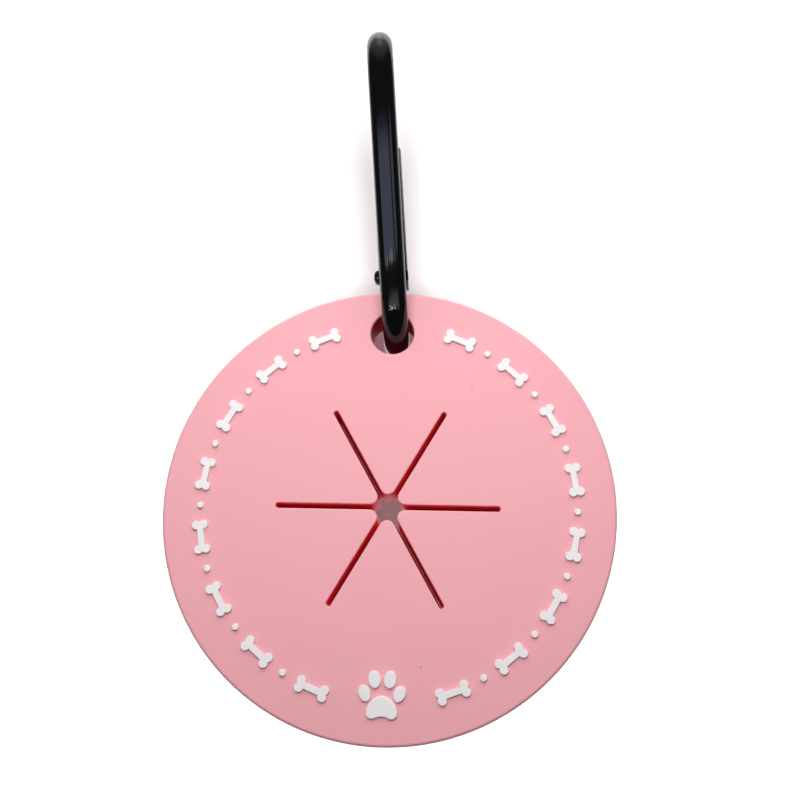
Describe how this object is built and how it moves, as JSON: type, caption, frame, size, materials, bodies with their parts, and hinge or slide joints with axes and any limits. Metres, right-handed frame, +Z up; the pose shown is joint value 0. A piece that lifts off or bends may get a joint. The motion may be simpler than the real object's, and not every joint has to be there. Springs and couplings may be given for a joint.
{
  "type": "dog waste bag holder",
  "caption": "Flat round soft disc with radial slits that grip tied bags, hung by a hole near its rim on a sprung-gate snap hook.",
  "frame": {"origin": "seat inside the top bend of the snap hook, where it hangs", "axes": "+Z up, -Y the front with the raised marks, +X to the right as seen from the front"},
  "size_m": [0.085, 0.035, 0.1371],
  "materials": {
    "silicone": "satin pink moulded silicone",
    "marks": "satin white moulded silicone",
    "anodised_rod": "glossy black anodised",
    "anodised_gate": "glossy black anodised",
    "rivet": "black anodised",
    "spring": "bright drawn wire",
    "plunger": "turned steel"
  },
  "bodies": {
    "hook": {"hook_body": "anodised_rod"},
    "gate": {"gate": "anodised_gate", "gate_rivet": "rivet", "gate_spring": "spring"},
    "plunger": {"gate_plunger": "plunger"},
    "disc": {"holder_disc": "silicone", "bone_marks": "marks", "dot_marks": "marks", "paw_pad": "marks", "paw_toes": "marks"},
    "flap_1": {"flap_1": "silicone"},
    "flap_2": {"flap_2": "silicone"},
    "flap_3": {"flap_3": "silicone"},
    "flap_4": {"flap_4": "silicone"},
    "flap_5": {"flap_5": "silicone"},
    "flap_6": {"flap_6": "silicone"}
  },
  "joints": [
    {"name": "disc_swing", "type": "hinge", "parent": "hook", "child": "disc", "pos_m": [0.00324, 0.01451, -0.04617], "axis": [0.9968, 0.0216, 0.0767], "range_deg": [-80, 90]},
    {"name": "gate_hinge", "type": "hinge", "parent": "hook", "child": "gate", "pos_m": [0.0024, 0.02213, -0.03736], "axis": [0.9968, 0.0216, 0.0767], "range_deg": [0, 36], "stiffness_Nm_per_rad": 0.08, "springref_deg": -17.19},
    {"name": "plunger_slide", "type": "slide", "parent": "gate", "child": "plunger", "axis": [-0.0741, -0.1046, 0.9918], "range_m": [0, 0.00095], "deforming": ["gate_spring"]},
    {"name": "flap_1_bend", "type": "hinge", "parent": "disc", "child": "flap_1", "pos_m": [0.01906, 0.01451, -0.07891], "axis": [0.5, 0, -0.866], "range_deg": [-35, 35], "stiffness_Nm_per_rad": 0.02, "deforming": ["flap_1"]},
    {"name": "flap_2_bend", "type": "hinge", "parent": "disc", "child": "flap_2", "pos_m": [0.00324, 0.01451, -0.06977], "axis": [1, 0, 0], "range_deg": [-35, 35], "stiffness_Nm_per_rad": 0.02, "deforming": ["flap_2"]},
    {"name": "flap_3_bend", "type": "hinge", "parent": "disc", "child": "flap_3", "pos_m": [-0.01259, 0.01451, -0.07891], "axis": [0.5, 0, 0.866], "range_deg": [-35, 35], "stiffness_Nm_per_rad": 0.02, "deforming": ["flap_3"]},
    {"name": "flap_4_bend", "type": "hinge", "parent": "disc", "child": "flap_4", "pos_m": [-0.01259, 0.01451, -0.09718], "axis": [-0.5, 0, 0.866], "range_deg": [-35, 35], "stiffness_Nm_per_rad": 0.02, "deforming": ["flap_4"]},
    {"name": "flap_5_bend", "type": "hinge", "parent": "disc", "child": "flap_5", "pos_m": [0.00324, 0.01451, -0.10632], "axis": [-1, 0, 0], "range_deg": [-35, 35], "stiffness_Nm_per_rad": 0.02, "deforming": ["flap_5"]},
    {"name": "flap_6_bend", "type": "hinge", "parent": "disc", "child": "flap_6", "pos_m": [0.01906, 0.01451, -0.09718], "axis": [-0.5, 0, -0.866], "range_deg": [-35, 35], "stiffness_Nm_per_rad": 0.02, "deforming": ["flap_6"]}
  ],
  "couplings": [
    {"joint": "plunger_slide", "follows": "gate_hinge", "m_per_rad": 0.0015}
  ]
}
